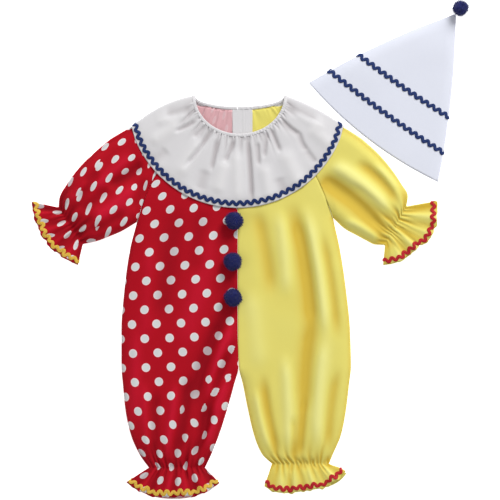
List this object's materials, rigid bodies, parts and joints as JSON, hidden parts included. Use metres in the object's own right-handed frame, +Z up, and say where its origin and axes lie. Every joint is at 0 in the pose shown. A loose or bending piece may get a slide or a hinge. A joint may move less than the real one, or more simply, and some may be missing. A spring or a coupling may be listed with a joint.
{
  "type": "clown costume",
  "caption": "Child's two-colour ruffled romper with flounce collar and pompoms, laid flat beside its pointed hat.",
  "frame": {"origin": "on the surface that the set lies on, under the middle of the box round the romper and the hat", "axes": "+X to the wearer's left (the yellow side), +Y from the feet to the neck, +Z up from the surface, out of the front of the garment"},
  "size_m": [0.654, 0.7464, 0.0306],
  "materials": {
    "red_dot_cotton": "matt woven cotton, red with white dots",
    "yellow_cotton": "matt woven cotton, lemon yellow",
    "white_cotton": "matt woven cotton, white",
    "hat_white": "smooth stiffened cloth, cool white",
    "navy_ricrac": "woven braid, navy",
    "gold_ricrac": "woven braid, golden yellow",
    "scarlet_ricrac": "woven braid, red",
    "navy_wool": "fluffy yarn, navy"
  },
  "bodies": {
    "root": {"front_red": "red_dot_cotton", "back_red": "red_dot_cotton", "sleeve_red": "red_dot_cotton", "front_yellow": "yellow_cotton", "back_yellow": "yellow_cotton", "sleeve_yellow": "yellow_cotton", "collar": "white_cotton", "neck_band": "white_cotton", "back_placket": "white_cotton", "hat_cone": "hat_white", "ricrac_collar": "navy_ricrac", "ricrac_hat_lower": "navy_ricrac", "ricrac_hat_upper": "navy_ricrac", "ricrac_cuff_red": "gold_ricrac", "ricrac_ankle_red": "gold_ricrac", "ricrac_cuff_yellow": "scarlet_ricrac", "ricrac_ankle_yellow": "scarlet_ricrac", "pompom_top": "navy_wool", "pompom_middle": "navy_wool", "pompom_bottom": "navy_wool", "hat_pompom": "navy_wool"}
  },
  "joints": []
}
